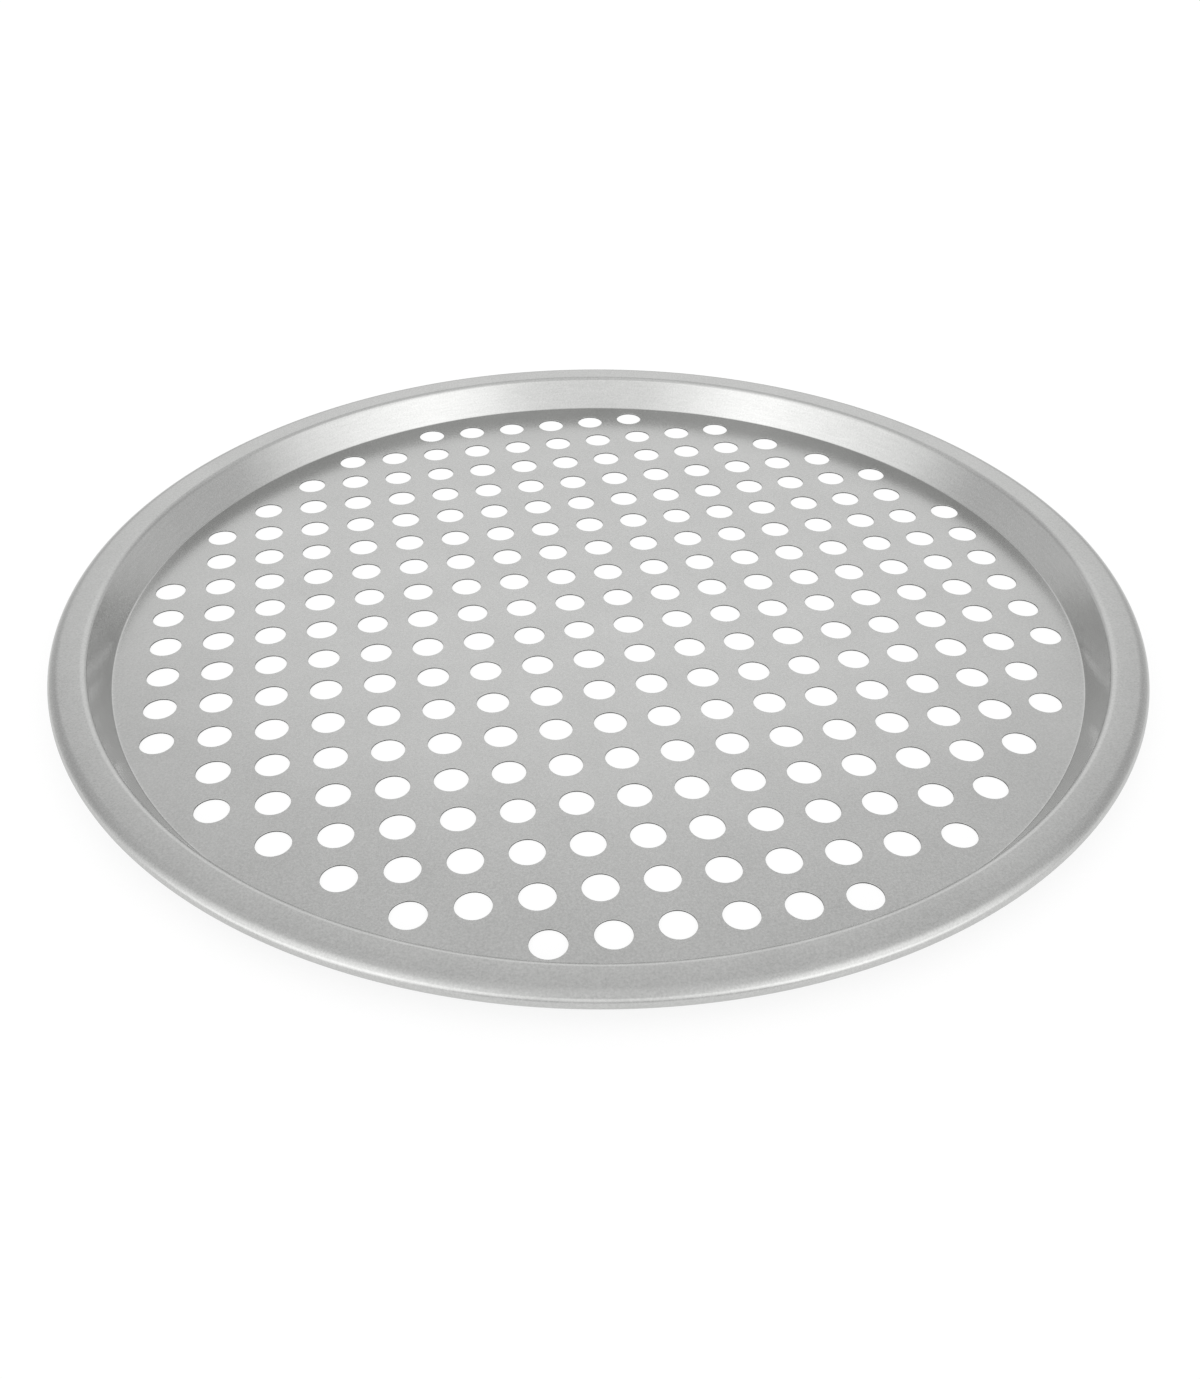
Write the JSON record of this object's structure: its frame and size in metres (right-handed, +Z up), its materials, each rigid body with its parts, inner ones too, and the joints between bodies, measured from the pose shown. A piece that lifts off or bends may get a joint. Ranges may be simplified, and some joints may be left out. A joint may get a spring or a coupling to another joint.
{
  "type": "pizza pan",
  "caption": "Round perforated pizza pan: a shallow drawn steel dish with a punched flat floor, a sloping wall, a flat flange and a rolled, wired rim, for baking a crisp base.",
  "frame": {"origin": "centre of the floor's underside, the face that the pan stands on", "axes": "+Z up along the pan's axis; +X and +Y along the two directions of the square grid of holes"},
  "size_m": [0.33, 0.33, 0.0113],
  "materials": {
    "pan_sheet": "bare silver-grey sheet steel with a dull, fine-grained sheen",
    "wire": "plain drawn steel wire"
  },
  "bodies": {
    "root": {"pan": "pan_sheet", "rim_wire": "wire"}
  },
  "joints": []
}
